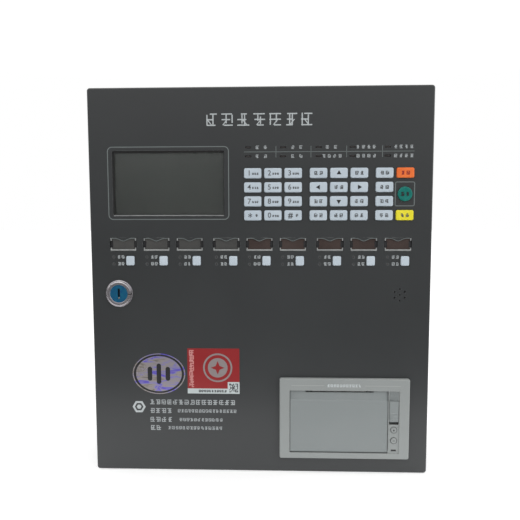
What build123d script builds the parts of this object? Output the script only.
from build123d import *
import os

# Wall-mounted fire alarm control panel, in millimetres.
# Frame: +X to the right across the face, +Y into the wall, +Z up.
# Origin: centre of the four wall holes, on the back plane of the cabinet.
# A "depth" below is measured forwards from the wall, so a point at depth d lies at y = -d.

os.makedirs("parts", exist_ok=True)

# ---------------------------------------------------------------- driving dimensions
face_width = 350
face_height = 400
door_face = 110          # depth of the door's front face
sheet = 1.5              # steel sheet
fit_gap = 0.3            # room round a piece that moves

# cabinet and door pans
door_pan = 18
door_rear = door_face - door_pan
door_skin = door_face - sheet
door_corner = 3
door_return = 12
cabinet_inset = 7
cabinet_width = face_width - 2 * cabinet_inset
cabinet_height = face_height - 2 * cabinet_inset
cabinet_depth = door_rear - 2
cabinet_lip = 10
cabinet_corner = 2
wall_hole_x = 260
wall_hole_z = 320
wall_hole_radius = 3.5
cable_slot = (120, 30)
cable_slot_depth = 40

# door hinge, hidden behind the right edge of the door
hinge_x = face_width / 2 - 3.5
hinge_depth = 88
hinge_radius = 3
hinge_pin_radius = 1.25
hinge_running_gap = 0.05
hinge_length = 60
hinge_heights = (-130, 130)
leaf = 1.2
leaf_width = 18
leaf_web = 1

# lock
lock_x = -146.4
lock_z = -10
lock_head_radius = 14.2
lock_barrel_radius = 11
lock_face_radius = 9.8
lock_shaft_radius = 6
lock_running_gap = 0.05
lock_proud = 2.6
lock_rear = 88.6
lock_nut = 3.3
lock_nut_radius = 15.5
lock_seat_depth = 4        # how far the blue face reaches behind the door's face
keyway = (2.4, 10.8)
tail_side = 8
cam_back = 85.5
cam_sheet = 2
cam_width = 14
cam_length = 17
cam_screw_radius = 5.8
cam_screw_height = 2

# display
display_x = -93.2
display_z = 103.5
display_opening = (114.8, 66.4)
display_margin = 5
window_sheet = 1.6
module_gap = 0.3
module_size = (126, 80)
module_depth = 9
module_bezel = 1.2

# keypad and manual control keys
key_size = (17.6, 10.2)
key_corner = 1.7
key_proud = 1.6
key_skirt = 1.0          # how far the base of a key runs past its cap
key_skirt_thickness = 1.6
key_pitch_x = 20.5
key_pitch_z = 14.2
key_top_row = 113.5
digit_x = -6.7
menu_x = 59.9
function_x = 126.2
command_x = function_x + 20.7
round_key_radius = 7.4
round_key_z = 92.3
manual_key_size = (8.4, 9.6)
manual_key_corner = 1.4
manual_key_z = 24.4
manual_key_offset = 7.15
label_x = (-141.0, -106.4, -72.0, -34.2, 0.0, 34.2, 72.0, 106.4, 141.0)
label_z = 41.4
label_size = (26.8, 13.6)
label_notch = (28.4, 6.6)  # finger room at both ends of a label
label_rim = 1.6
lamp_radius = 0.8
lamp_offset = -10.3
lamp_rows = (28.2, 20.9)
indicator_size = (6.4, 2.0)
indicator_x = (-11.2, 24.0, 60.0, 94.0, 129.2)
indicator_rows = (139.5, 130.6)

# sounder holes
sounder_x = 143.7
sounder_z = -10.5
sounder_ring = 6
sounder_hole_radius = 1.0

# boards behind the door
board = 1.6
board_front = door_face - 6.4
board_right = 158
board_bottom = 12
board_split = 60
board_top_edge = 146
board_keypad_left = -22
board_post_radius = 2.2
board_post_inset = 4
switch_side = 6
switch_height = 1.4

# printer
printer_x = 88.15
printer_z = -141.1
printer_bezel = (134.9, 85.9)
printer_proud = 4
printer_tray = (124, 77)
printer_tray_depth = 6
bin_size = (73, 73)
bin_wall = 3
bin_rear = 60
recess_left = 31.2
recess_right = 133.6
recess_bottom = -177.7
recess_top = -110.9
recess_floor = door_face - 0.1
flap_thickness = 3.2
flap_gap = 0.4
flap_axis_depth = 111.8
flap_axis_z = -175.5
flap_pin_radius = 1.2
flap_pin_reach = 2.2
slit_x = 83.0
slit_width = 70.6
slit_height = 2.0
slit_z = -111.8
column_x = 139.6
column_step = 0.8
column_width = 10.4
latch_size = (9.4, 20.8)
latch_axis_depth = 112.0
latch_axis_z = -123.1
latch_radius = 1.9
latch_pin_radius = 1.0
latch_pin_reach = 0.8
latch_room = 3.0
push_radius = 3.0
push_heights = (-152.3, -163.7)
push_travel = 1.0
push_skirt = 1.0
push_wall = 1.8
lamp_slit = (5.4, 2.0)
lamp_slit_z = -174.4
roll_radius = 20
roll_width = 57
roll_bore = 6.3
roll_depth = 84.5
roll_z = -146
stub_radius = 6.0
stub_length = 12

# inside the cabinet
main_board_size = (250, 150)
main_board_z = 80
main_board_depth = 13.4
standoff_radius = 3
terminal_pitch = 14
terminal_count = 16
terminal_size = (12.6, 11, 13)
relay_pitch = 24
relay_count = 4
relay_size = (19, 15, 15)
relay_start = (-96, 108)
transformer_size = (42, 34, 24)
transformer_place = (88, 42)
processor_side = 28
processor_height = 3
processor_place = (-10, 62)
capacitor_radius = 8
capacitor_height = 22
capacitor_places = ((40, 34), (40, 54))
battery_size = (90, 70, 101)
battery_left = (-162, -70)
battery_tab = (4.8, 0.8, 6)
battery_tab_inset = 12
supply_size = (129, 38, 98)
supply_x = 89
supply_terminals = (16, 17)   # width and depth of the terminal block at the open end
supply_margin = 12
shelf_z = -190
wall_gap = 3


# ---------------------------------------------------------------- building helpers
def slab(size, near, far, places=((0, 0),), radius=0.0, mode=Mode.ADD):
    """A plate that faces the room, from depth near to depth far, at each (x, z) place."""
    with BuildSketch(Plane.XZ.offset(near)) as outline:
        with Locations(*places):
            if radius > 0:
                RectangleRounded(size[0], size[1], radius)
            else:
                Rectangle(size[0], size[1])
    extrude(outline.sketch, amount=far - near, mode=mode)


def disc(radius, near, far, places, mode=Mode.ADD):
    """A round bar that faces the room, from depth near to depth far, at each (x, z) place."""
    with BuildSketch(Plane.XZ.offset(near)) as outline:
        with Locations(*places):
            Circle(radius)
    extrude(outline.sketch, amount=far - near, mode=mode)


def block(low, high, near, far, mode=Mode.ADD):
    """A box from the (x, z) corner low to the (x, z) corner high, between two depths."""
    size = (high[0] - low[0], high[1] - low[1])
    centre = ((low[0] + high[0]) / 2, (low[1] + high[1]) / 2)
    slab(size, near, far, [centre], mode=mode)


def cross_rod(radius, left, right, depth, z, mode=Mode.ADD):
    """A round bar along X."""
    with BuildSketch(Plane.YZ.offset(left)) as section:
        with Locations((-depth, z)):
            Circle(radius)
    extrude(section.sketch, amount=right - left, mode=mode)


def upright_rod(radius, low, high, x, depth, mode=Mode.ADD):
    """A round bar along Z."""
    with BuildSketch(Plane.XY.offset(low)) as section:
        with Locations((x, -depth)):
            Circle(radius)
    extrude(section.sketch, amount=high - low, mode=mode)


def upright_block(low, high, near, far, bottom, top, mode=Mode.ADD):
    """A box between x = low and high, two depths and two heights."""
    with BuildSketch(Plane.XY.offset(bottom)) as section:
        with Locations(((low + high) / 2, -(near + far) / 2)):
            Rectangle(high - low, far - near)
    extrude(section.sketch, amount=top - bottom, mode=mode)


def front_face(shape):
    """The face nearest to the room."""
    return shape.faces().sort_by(Axis.Y)[0]


def save(builder, name):
    """Label a finished piece and write its STEP file."""
    builder.part.label = name
    export_step(builder.part, f"parts/{name}.step")


# ---------------------------------------------------------------- key places
digit_names = ("1", "2", "3", "4", "5", "6", "7", "8", "9", "star", "0", "hash")
menu_names = (
    "menu_a", "up", "menu_b",
    "left", "enter", "right",
    "menu_c", "down", "menu_d",
    "menu_e", "menu_f", "menu_g",
)
key_rows = [key_top_row - row * key_pitch_z for row in range(4)]
key_places = {}
for start_x, names in ((digit_x, digit_names), (menu_x, menu_names)):
    for index, name in enumerate(names):
        place = (start_x + (index % 3) * key_pitch_x, key_rows[index // 3])
        key_places[f"key_{name}"] = place
for row, z in enumerate(key_rows):
    key_places[f"key_function_{row + 1}"] = (function_x, z)
key_places["key_orange"] = (command_x, key_rows[0])
key_places["key_yellow"] = (command_x, key_rows[3])
round_key_place = (command_x, round_key_z)
manual_places = [(x + manual_key_offset, manual_key_z) for x in label_x]
label_places = [(x, label_z) for x in label_x]
lamp_places = [(x + lamp_offset, z) for x in label_x for z in lamp_rows]
indicator_places = [(x, z) for x in indicator_x for z in indicator_rows]


# ---------------------------------------------------------------- cabinet
with BuildPart() as cabinet_box:
    slab((cabinet_width, cabinet_height), 0, cabinet_depth, radius=cabinet_corner)
    slab(
        (cabinet_width - 2 * sheet, cabinet_height - 2 * sheet),
        sheet, cabinet_depth - sheet, mode=Mode.SUBTRACT,
    )
    slab(
        (cabinet_width - 2 * cabinet_lip, cabinet_height - 2 * cabinet_lip),
        cabinet_depth - sheet, cabinet_depth, mode=Mode.SUBTRACT,
    )
    with BuildSketch(Plane.XZ) as wall_holes:
        with GridLocations(wall_hole_x, wall_hole_z, 2, 2):
            Circle(wall_hole_radius)
    extrude(wall_holes.sketch, amount=sheet, mode=Mode.SUBTRACT)
    upright_block(
        -cable_slot[0] / 2, cable_slot[0] / 2,
        cable_slot_depth - cable_slot[1] / 2, cable_slot_depth + cable_slot[1] / 2,
        cabinet_height / 2 - 2 * sheet, cabinet_height / 2 + sheet, Mode.SUBTRACT,
    )
save(cabinet_box, "cabinet_box")


# ---------------------------------------------------------------- door
with BuildPart() as door_panel:
    slab((face_width, face_height), door_rear, door_face, radius=door_corner)
    fillet(front_face(door_panel).edges(), sheet)
    slab(
        (face_width - 2 * sheet, face_height - 2 * sheet),
        door_rear + sheet, door_skin, radius=door_corner - sheet, mode=Mode.SUBTRACT,
    )
    slab(
        (face_width - 2 * door_return, face_height - 2 * door_return),
        door_rear, door_rear + sheet, mode=Mode.SUBTRACT,
    )
    slab(display_opening, door_skin, door_face, [(display_x, display_z)], 1.0, Mode.SUBTRACT)
    slab(
        (key_size[0] + 2 * fit_gap, key_size[1] + 2 * fit_gap),
        door_skin, door_face, list(key_places.values()), key_corner + fit_gap, Mode.SUBTRACT,
    )
    disc(round_key_radius + fit_gap, door_skin, door_face, [round_key_place], Mode.SUBTRACT)
    slab(
        (manual_key_size[0] + 2 * fit_gap, manual_key_size[1] + 2 * fit_gap),
        door_skin, door_face, manual_places, manual_key_corner + fit_gap, Mode.SUBTRACT,
    )
    slab(label_size, door_skin, door_face, label_places, 0.8, Mode.SUBTRACT)
    slab(label_notch, door_skin, door_face, label_places, 0.5, Mode.SUBTRACT)
    disc(lamp_radius, door_skin, door_face, lamp_places, Mode.SUBTRACT)
    slab(indicator_size, door_skin, door_face, indicator_places, 0.6, Mode.SUBTRACT)
    disc(lock_barrel_radius + 0.2, door_skin, door_face, [(lock_x, lock_z)], Mode.SUBTRACT)
    with BuildSketch(Plane.XZ.offset(door_skin)) as sound_holes:
        with Locations((sounder_x, sounder_z)):
            Circle(sounder_hole_radius)
            with PolarLocations(sounder_ring, 6, start_angle=30):
                Circle(sounder_hole_radius)
    extrude(sound_holes.sketch, amount=sheet, mode=Mode.SUBTRACT)
    slab(
        (printer_tray[0] + 0.8, printer_tray[1] + 0.8),
        door_skin, door_face, [(printer_x, printer_z)], mode=Mode.SUBTRACT,
    )
save(door_panel, "door_panel")


# ---------------------------------------------------------------- door hinges
knuckle = hinge_length / 3
cabinet_side = cabinet_width / 2
with BuildPart() as hinge_cabinet_leaves:
    for z in hinge_heights:
        low = z - knuckle / 2 + fit_gap
        high = z + knuckle / 2 - fit_gap
        upright_rod(hinge_radius, low, high, hinge_x, hinge_depth)
        upright_block(cabinet_side, hinge_x, hinge_depth - 5, hinge_depth, low, high)
        upright_block(
            cabinet_side, cabinet_side + leaf, hinge_depth - 4 - leaf_width, hinge_depth - 4,
            z - hinge_length / 2, z + hinge_length / 2,
        )
        upright_rod(
            hinge_pin_radius, z - hinge_length / 2 - 1, z + hinge_length / 2 + 1,
            hinge_x, hinge_depth,
        )
save(hinge_cabinet_leaves, "hinge_cabinet_leaves")

with BuildPart() as hinge_door_leaves:
    for z in hinge_heights:
        upright_block(
            face_width / 2 - door_return + 1, cabinet_side - 0.5, door_rear - leaf, door_rear,
            z - hinge_length / 2, z + hinge_length / 2,
        )
        for low in (z - hinge_length / 2, z + knuckle / 2):
            upright_block(
                cabinet_side - 0.5, hinge_x + leaf_web, door_rear - leaf, door_rear,
                low, low + knuckle,
            )
            upright_block(
                hinge_x - leaf_web, hinge_x + leaf_web, hinge_depth, door_rear, low, low + knuckle,
            )
            upright_rod(hinge_radius, low, low + knuckle, hinge_x, hinge_depth)
            upright_rod(
                hinge_pin_radius + hinge_running_gap, low, low + knuckle,
                hinge_x, hinge_depth, Mode.SUBTRACT,
            )
save(hinge_door_leaves, "hinge_door_leaves")


# ---------------------------------------------------------------- cam lock
lock_place = [(lock_x, lock_z)]
lock_front = door_face + lock_proud
face_seat = door_face - lock_seat_depth
with BuildPart() as lock_housing:
    disc(lock_head_radius, door_face, lock_front, lock_place)
    fillet(front_face(lock_housing).edges(), 1.2)
    disc(lock_barrel_radius, lock_rear, door_face, lock_place)
    disc(lock_face_radius, face_seat, lock_front, lock_place, Mode.SUBTRACT)
    disc(
        lock_shaft_radius + lock_running_gap, lock_rear, face_seat, lock_place, Mode.SUBTRACT,
    )
    with BuildSketch(Plane.XZ.offset(door_skin - lock_nut)) as nut:
        with Locations((lock_x, lock_z)):
            RegularPolygon(lock_nut_radius, 6)
            Circle(lock_barrel_radius + lock_running_gap, mode=Mode.SUBTRACT)
    extrude(nut.sketch, amount=lock_nut)
save(lock_housing, "lock_housing")

with BuildPart() as lock_plug:
    disc(
        lock_face_radius - lock_running_gap, face_seat + 0.1, lock_front - 0.5, lock_place,
    )
    fillet(front_face(lock_plug).edges(), 0.5)
    disc(lock_shaft_radius, cam_back + cam_sheet, face_seat + 0.1, lock_place)
    slab((tail_side, tail_side), cam_back, cam_back + cam_sheet, lock_place)
    disc(cam_screw_radius, cam_back - cam_screw_height, cam_back, lock_place)
    slab(keyway, face_seat + 1, lock_front, lock_place, mode=Mode.SUBTRACT)
save(lock_plug, "lock_plug")

with BuildPart() as lock_cam:
    with BuildSketch(Plane.XZ.offset(cam_back)) as cam_outline:
        with Locations((lock_x, lock_z)):
            Circle(cam_width / 2 + 1)
        with Locations((lock_x, lock_z - cam_length / 2)):
            Rectangle(cam_width, cam_length)
        with Locations((lock_x, lock_z)):
            Rectangle(tail_side, tail_side, mode=Mode.SUBTRACT)
    extrude(cam_outline.sketch, amount=cam_sheet)
    fillet(lock_cam.edges().filter_by(Axis.Y).group_by(Axis.Z)[0], 3)
save(lock_cam, "lock_cam")


# ---------------------------------------------------------------- display
display_place = [(display_x, display_z)]
window_rear = door_skin - window_sheet
module_front = window_rear - module_gap
with BuildPart() as display_window:
    slab(
        (display_opening[0] + 2 * display_margin, display_opening[1] + 2 * display_margin),
        window_rear, door_skin, display_place, 2,
    )
save(display_window, "display_window")

with BuildPart() as display_module:
    slab(module_size, module_front - module_depth, module_front, display_place, 1)
    fillet(front_face(display_module).edges(), 0.6)
    slab(
        (display_opening[0] - 1, display_opening[1] - 1),
        module_front - module_bezel, module_front, display_place, mode=Mode.SUBTRACT,
    )
save(display_module, "display_module")


# ---------------------------------------------------------------- keys
key_front = door_face + key_proud
skirt_front = door_skin - fit_gap
skirt_rear = skirt_front - key_skirt_thickness


def push_key(name, size, corner, place):
    """A key cap with a skirt that stays behind the door sheet."""
    with BuildPart() as key:
        slab(size, skirt_front, key_front, [place], corner)
        fillet(front_face(key).edges(), 0.5)
        slab(
            (size[0] + 2 * key_skirt, size[1] + 2 * key_skirt),
            skirt_rear, skirt_front, [place], corner,
        )
    save(key, name)


for name, place in key_places.items():
    push_key(name, key_size, key_corner, place)
for index, place in enumerate(manual_places):
    push_key(f"manual_key_{index + 1}", manual_key_size, manual_key_corner, place)

with BuildPart() as round_key:
    disc(round_key_radius, skirt_front, key_front, [round_key_place])
    fillet(front_face(round_key).edges(), 0.8)
    disc(round_key_radius + key_skirt, skirt_rear, skirt_front, [round_key_place])
save(round_key, "key_green_round")


# ---------------------------------------------------------------- label windows
with BuildPart() as label_windows:
    slab(
        (label_size[0] + 2 * label_rim, label_size[1] + 2 * label_rim),
        door_skin - 1.2, door_skin, label_places, 1,
    )
    slab(
        (label_size[0] - 0.4, label_size[1] - 0.4),
        door_skin, door_skin + 0.7, label_places, 0.6,
    )
save(label_windows, "label_windows")


# ---------------------------------------------------------------- control board
with BuildPart() as control_board:
    block(
        (-board_right, board_bottom), (board_right, board_split), board_front - board, board_front,
    )
    block(
        (board_keypad_left, board_split), (board_right, board_top_edge),
        board_front - board, board_front,
    )
    switch_places = list(key_places.values()) + [round_key_place] + manual_places
    slab((switch_side, switch_side), board_front, board_front + switch_height, switch_places)
    post_x = board_right - board_post_inset
    post_places = [
        (x, z) for x in (-post_x, 0, post_x)
        for z in (board_bottom + board_post_inset, board_split - board_post_inset)
    ]
    post_places += [
        (x, board_top_edge - board_post_inset)
        for x in (board_keypad_left + board_post_inset, menu_x + key_pitch_x / 2, post_x)
    ]
    disc(board_post_radius, board_front, door_skin, post_places)
save(control_board, "control_board")


# ---------------------------------------------------------------- printer
printer_place = [(printer_x, printer_z)]
printer_front = door_face + printer_proud
column_front = printer_front - column_step
column_low = column_x - column_width / 2
column_high = column_x + column_width / 2
tray_rear = door_face - printer_tray_depth
bin_place = [(slit_x, roll_z + 3.4)]
latch_low = latch_axis_z - latch_size[1]
with BuildPart() as printer_body:
    slab(printer_bezel, door_face, printer_front, printer_place, 2)
    fillet(front_face(printer_body).edges(), 1.4)
    slab(printer_tray, tray_rear, door_face, printer_place, 1)
    slab(bin_size, bin_rear, tray_rear, bin_place)
    slab(
        (bin_size[0] - 2 * bin_wall, bin_size[1] - 2 * bin_wall),
        bin_rear + bin_wall, door_face, bin_place, mode=Mode.SUBTRACT,
    )
    # recess that takes the paper flap
    block(
        (recess_left, recess_bottom), (recess_right, recess_top),
        recess_floor, printer_front, Mode.SUBTRACT,
    )
    # paper slit at the flap's upper edge
    slab(
        (slit_width, slit_height), door_face - 2, printer_front,
        [(slit_x, slit_z)], mode=Mode.SUBTRACT,
    )
    # lowered column for the latch and the two push buttons
    block(
        (column_low - 0.4, recess_bottom), (column_high + 0.4, recess_top),
        column_front, printer_front, Mode.SUBTRACT,
    )
    # pocket behind the latch
    block(
        (column_x - latch_size[0] / 2 - fit_gap, latch_low - latch_room),
        (column_x + latch_size[0] / 2 + fit_gap, latch_axis_z + latch_radius + 0.4),
        door_face - 1.5, printer_front, Mode.SUBTRACT,
    )
    # room behind the two buttons, and their round holes
    block(
        (column_low, push_heights[1] - 6), (column_high, push_heights[0] + 4.9),
        tray_rear + 2, column_front - push_wall, Mode.SUBTRACT,
    )
    push_places = [(column_x, z) for z in push_heights]
    disc(push_radius + 0.2, tray_rear + 2, column_front, push_places, Mode.SUBTRACT)
    # lamp slit below the buttons
    slab(
        lamp_slit, column_front - push_wall, column_front, [(column_x, lamp_slit_z)],
        mode=Mode.SUBTRACT,
    )
    # bores for the pins of the flap and the latch
    cross_rod(
        flap_pin_radius + hinge_running_gap, recess_left - flap_pin_reach - 0.4,
        recess_right + flap_pin_reach + 0.4, flap_axis_depth, flap_axis_z, Mode.SUBTRACT,
    )
    cross_rod(
        latch_pin_radius + hinge_running_gap, column_x - latch_size[0] / 2 - latch_pin_reach - 0.2,
        column_x + latch_size[0] / 2 + latch_pin_reach + 0.2, latch_axis_depth, latch_axis_z, Mode.SUBTRACT,
    )
    # two stubs that carry the paper roll
    bin_inner = bin_size[0] / 2 - bin_wall
    cross_rod(stub_radius, slit_x - bin_inner, slit_x - bin_inner + stub_length, roll_depth, roll_z)
    cross_rod(stub_radius, slit_x + bin_inner - stub_length, slit_x + bin_inner, roll_depth, roll_z)
save(printer_body, "printer_body")

flap_rear = flap_axis_depth - flap_thickness / 2
flap_front = flap_axis_depth + flap_thickness / 2
with BuildPart() as printer_paper_door:
    block(
        (recess_left + flap_gap, flap_axis_z), (recess_right - flap_gap, recess_top - flap_gap),
        flap_rear, flap_front,
    )
    cross_rod(
        flap_thickness / 2, recess_left + flap_gap, recess_right - flap_gap,
        flap_axis_depth, flap_axis_z,
    )
    cross_rod(
        flap_pin_radius, recess_left - flap_pin_reach, recess_right + flap_pin_reach,
        flap_axis_depth, flap_axis_z,
    )
    # notch that leaves the paper slit open
    block(
        (slit_x - slit_width / 2, slit_z - slit_height / 2), (slit_x + slit_width / 2, recess_top),
        flap_rear, flap_front, Mode.SUBTRACT,
    )
save(printer_paper_door, "printer_paper_door")

with BuildPart() as printer_latch:
    block(
        (column_x - latch_size[0] / 2, latch_low), (column_x + latch_size[0] / 2, latch_axis_z),
        latch_axis_depth - latch_radius, latch_axis_depth + latch_radius,
    )
    cross_rod(
        latch_radius, column_x - latch_size[0] / 2, column_x + latch_size[0] / 2,
        latch_axis_depth, latch_axis_z,
    )
    cross_rod(
        latch_pin_radius, column_x - latch_size[0] / 2 - latch_pin_reach,
        column_x + latch_size[0] / 2 + latch_pin_reach, latch_axis_depth, latch_axis_z,
    )
save(printer_latch, "printer_latch")

skirt_face = column_front - push_wall - fit_gap
for name, z in zip(("printer_feed_key", "printer_select_key"), push_heights):
    with BuildPart() as push_button:
        disc(push_radius, skirt_face, column_front + push_travel, [(column_x, z)])
        fillet(front_face(push_button).edges(), 0.4)
        disc(push_radius + push_skirt, skirt_face - 1.2, skirt_face, [(column_x, z)])
    save(push_button, name)

with BuildPart() as paper_roll:
    cross_rod(roll_radius, slit_x - roll_width / 2, slit_x + roll_width / 2, roll_depth, roll_z)
    cross_rod(
        roll_bore, slit_x - roll_width / 2, slit_x + roll_width / 2,
        roll_depth, roll_z, Mode.SUBTRACT,
    )
save(paper_roll, "paper_roll")


# ---------------------------------------------------------------- inside the cabinet
board_top = main_board_depth + board
terminal_row_z = main_board_z + main_board_size[1] / 2 - terminal_size[1] / 2 - 2
with BuildPart() as main_board:
    slab(main_board_size, main_board_depth, board_top, [(0, main_board_z)], 2)
    with BuildSketch(Plane.XZ.offset(sheet)) as standoffs:
        with Locations((0, main_board_z)):
            with GridLocations(main_board_size[0] / 2 - 6, main_board_size[1] - 12, 3, 2):
                Circle(standoff_radius)
    extrude(standoffs.sketch, amount=main_board_depth - sheet)
    first_terminal = -(terminal_count - 1) * terminal_pitch / 2
    terminal_places = [
        (first_terminal + index * terminal_pitch, terminal_row_z) for index in range(terminal_count)
    ]
    slab(terminal_size[:2], board_top, board_top + terminal_size[2], terminal_places)
    relay_places = [
        (relay_start[0] + index * relay_pitch, relay_start[1]) for index in range(relay_count)
    ]
    slab(relay_size[:2], board_top, board_top + relay_size[2], relay_places)
    slab(transformer_size[:2], board_top, board_top + transformer_size[2], [transformer_place], 1)
    slab(
        (processor_side, processor_side), board_top, board_top + processor_height,
        [processor_place],
    )
    disc(capacitor_radius, board_top, board_top + capacitor_height, capacitor_places)
save(main_board, "main_board")

with BuildPart() as power_supply:
    supply_left = supply_x - supply_size[0] / 2
    supply_right = supply_x + supply_size[0] / 2
    supply_top = shelf_z + supply_size[2]
    upright_block(supply_left, supply_right, wall_gap, wall_gap + supply_size[1], shelf_z, supply_top)
    upright_block(
        supply_left, supply_right - sheet, wall_gap + sheet, wall_gap + supply_size[1] - sheet,
        shelf_z + sheet, supply_top - sheet, Mode.SUBTRACT,
    )
    upright_block(
        supply_left + 2, supply_left + 2 + supply_terminals[0],
        wall_gap + sheet, wall_gap + sheet + supply_terminals[1],
        shelf_z + supply_margin, supply_top - supply_margin,
    )
save(power_supply, "power_supply")

with BuildPart() as batteries:
    for left in battery_left:
        upright_block(
            left, left + battery_size[0], wall_gap, wall_gap + battery_size[1],
            shelf_z, shelf_z + battery_size[2],
        )
        for x in (left + battery_tab_inset, left + battery_size[0] - battery_tab_inset):
            upright_block(
                x - battery_tab[0] / 2, x + battery_tab[0] / 2,
                wall_gap + battery_tab_inset, wall_gap + battery_tab_inset + battery_tab[1],
                shelf_z + battery_size[2], shelf_z + battery_size[2] + battery_tab[2],
            )
save(batteries, "batteries")
